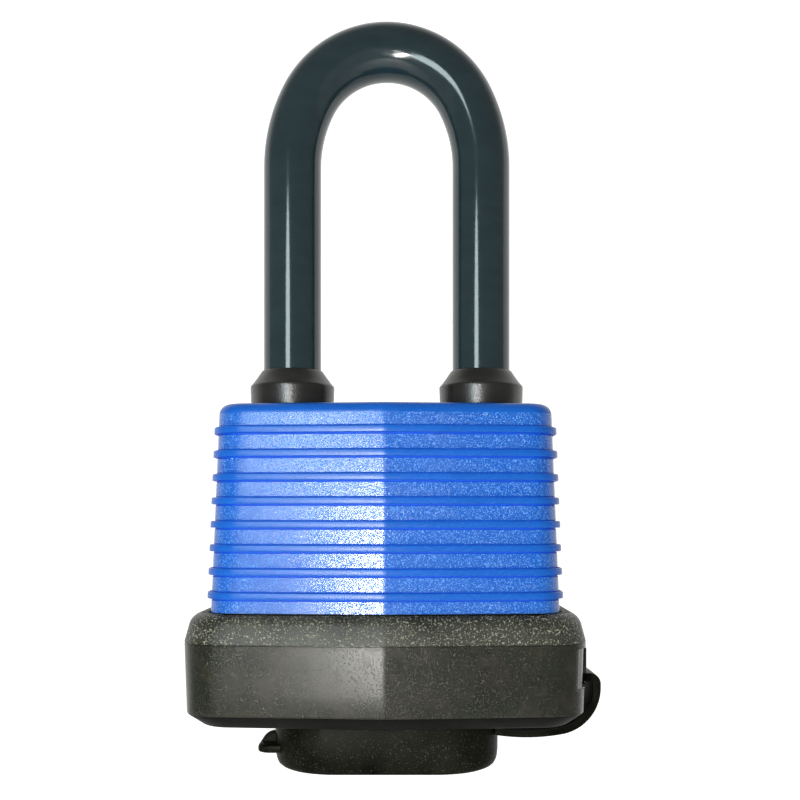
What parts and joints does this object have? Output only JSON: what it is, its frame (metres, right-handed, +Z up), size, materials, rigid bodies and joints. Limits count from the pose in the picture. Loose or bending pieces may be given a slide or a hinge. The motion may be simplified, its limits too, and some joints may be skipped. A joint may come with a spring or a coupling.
{
  "type": "padlock",
  "caption": "Weatherproof laminated padlock: ribbed blue cover, black bumper base, long sleeved shackle, strap-held key cap, and a full pin-tumbler and bolt mechanism inside.",
  "frame": {"origin": "centre of the key cap's flat bottom, on the midline between the shackle's legs", "axes": "+Z up towards the shackle's bow, +X across the width towards the heel leg and the strap, -Y out of the front"},
  "size_m": [0.0614, 0.0348, 0.114],
  "materials": {
    "cover_plastic": "deep blue moulded plastic, fine spark-eroded texture on the bands and smoother ribs",
    "base_plastic": "black moulded plastic with a coarse leathery texture",
    "seal_rubber": "satin black rubber",
    "cap_rubber": "satin black flexible plastic",
    "hardened_steel": "bright plated hardened steel",
    "sleeve_vinyl": "glossy blue-black vinyl",
    "plate_steel": "stamped, zinc-plated steel with sheared edges",
    "cylinder_brass": "turned brass",
    "spring_steel": "drawn spring wire"
  },
  "bodies": {
    "housing": {"cover": "cover_plastic", "base_cover": "base_plastic", "toe_seal": "seal_rubber", "heel_seal": "seal_rubber", "strap_anchor": "cap_rubber", "bottom_plate": "plate_steel", "cylinder_plates": "plate_steel", "spacer_plates": "plate_steel", "toe_plates": "plate_steel", "latch_plate": "plate_steel", "guide_plate": "plate_steel", "top_plate": "plate_steel", "rivets": "plate_steel", "cylinder_body": "cylinder_brass", "pin_chamber_cover": "cylinder_brass", "stop_pin": "hardened_steel", "shackle_spring": "spring_steel", "driver_pin_1": "hardened_steel", "driver_pin_2": "hardened_steel", "driver_pin_3": "hardened_steel", "driver_pin_4": "hardened_steel", "pin_spring_1": "spring_steel", "pin_spring_2": "spring_steel", "pin_spring_3": "spring_steel", "pin_spring_4": "spring_steel"},
    "shackle": {"shackle": "hardened_steel", "shackle_sleeve": "sleeve_vinyl"},
    "plug": {"plug": "cylinder_brass", "cam": "hardened_steel", "key_pin_1": "cylinder_brass", "key_pin_2": "cylinder_brass", "key_pin_3": "cylinder_brass", "key_pin_4": "cylinder_brass"},
    "toe_bolt": {"toe_bolt": "hardened_steel", "toe_bolt_spring": "spring_steel"},
    "heel_bolt": {"heel_bolt": "hardened_steel", "heel_bolt_spring": "spring_steel"},
    "cap": {"key_cap": "cap_rubber", "strap_tail": "cap_rubber"}
  },
  "joints": [
    {"name": "shackle_lift", "type": "slide", "parent": "housing", "child": "shackle", "axis": [0, 0, 1], "range_m": [0, 0.022], "deforming": ["shackle_spring"]},
    {"name": "plug_turn", "type": "hinge", "parent": "housing", "child": "plug", "pos_m": [0, 0, 0.02], "axis": [0, 0, 1], "range_deg": [-90, 0]},
    {"name": "toe_bolt_slide", "type": "slide", "parent": "housing", "child": "toe_bolt", "axis": [-1, 0, 0], "range_m": [0, 0.0018]},
    {"name": "heel_bolt_slide", "type": "slide", "parent": "housing", "child": "heel_bolt", "axis": [1, 0, 0], "range_m": [0, 0.0018]},
    {"name": "cap_swing", "type": "hinge", "parent": "housing", "child": "cap", "pos_m": [0.02845, 0, 0.00672], "axis": [0, -1, 0], "range_deg": [0, 100]}
  ],
  "couplings": [
    {"joint": "toe_bolt_slide", "follows": "plug_turn", "m_per_rad": -0.001145},
    {"joint": "heel_bolt_slide", "follows": "plug_turn", "m_per_rad": -0.001145}
  ]
}
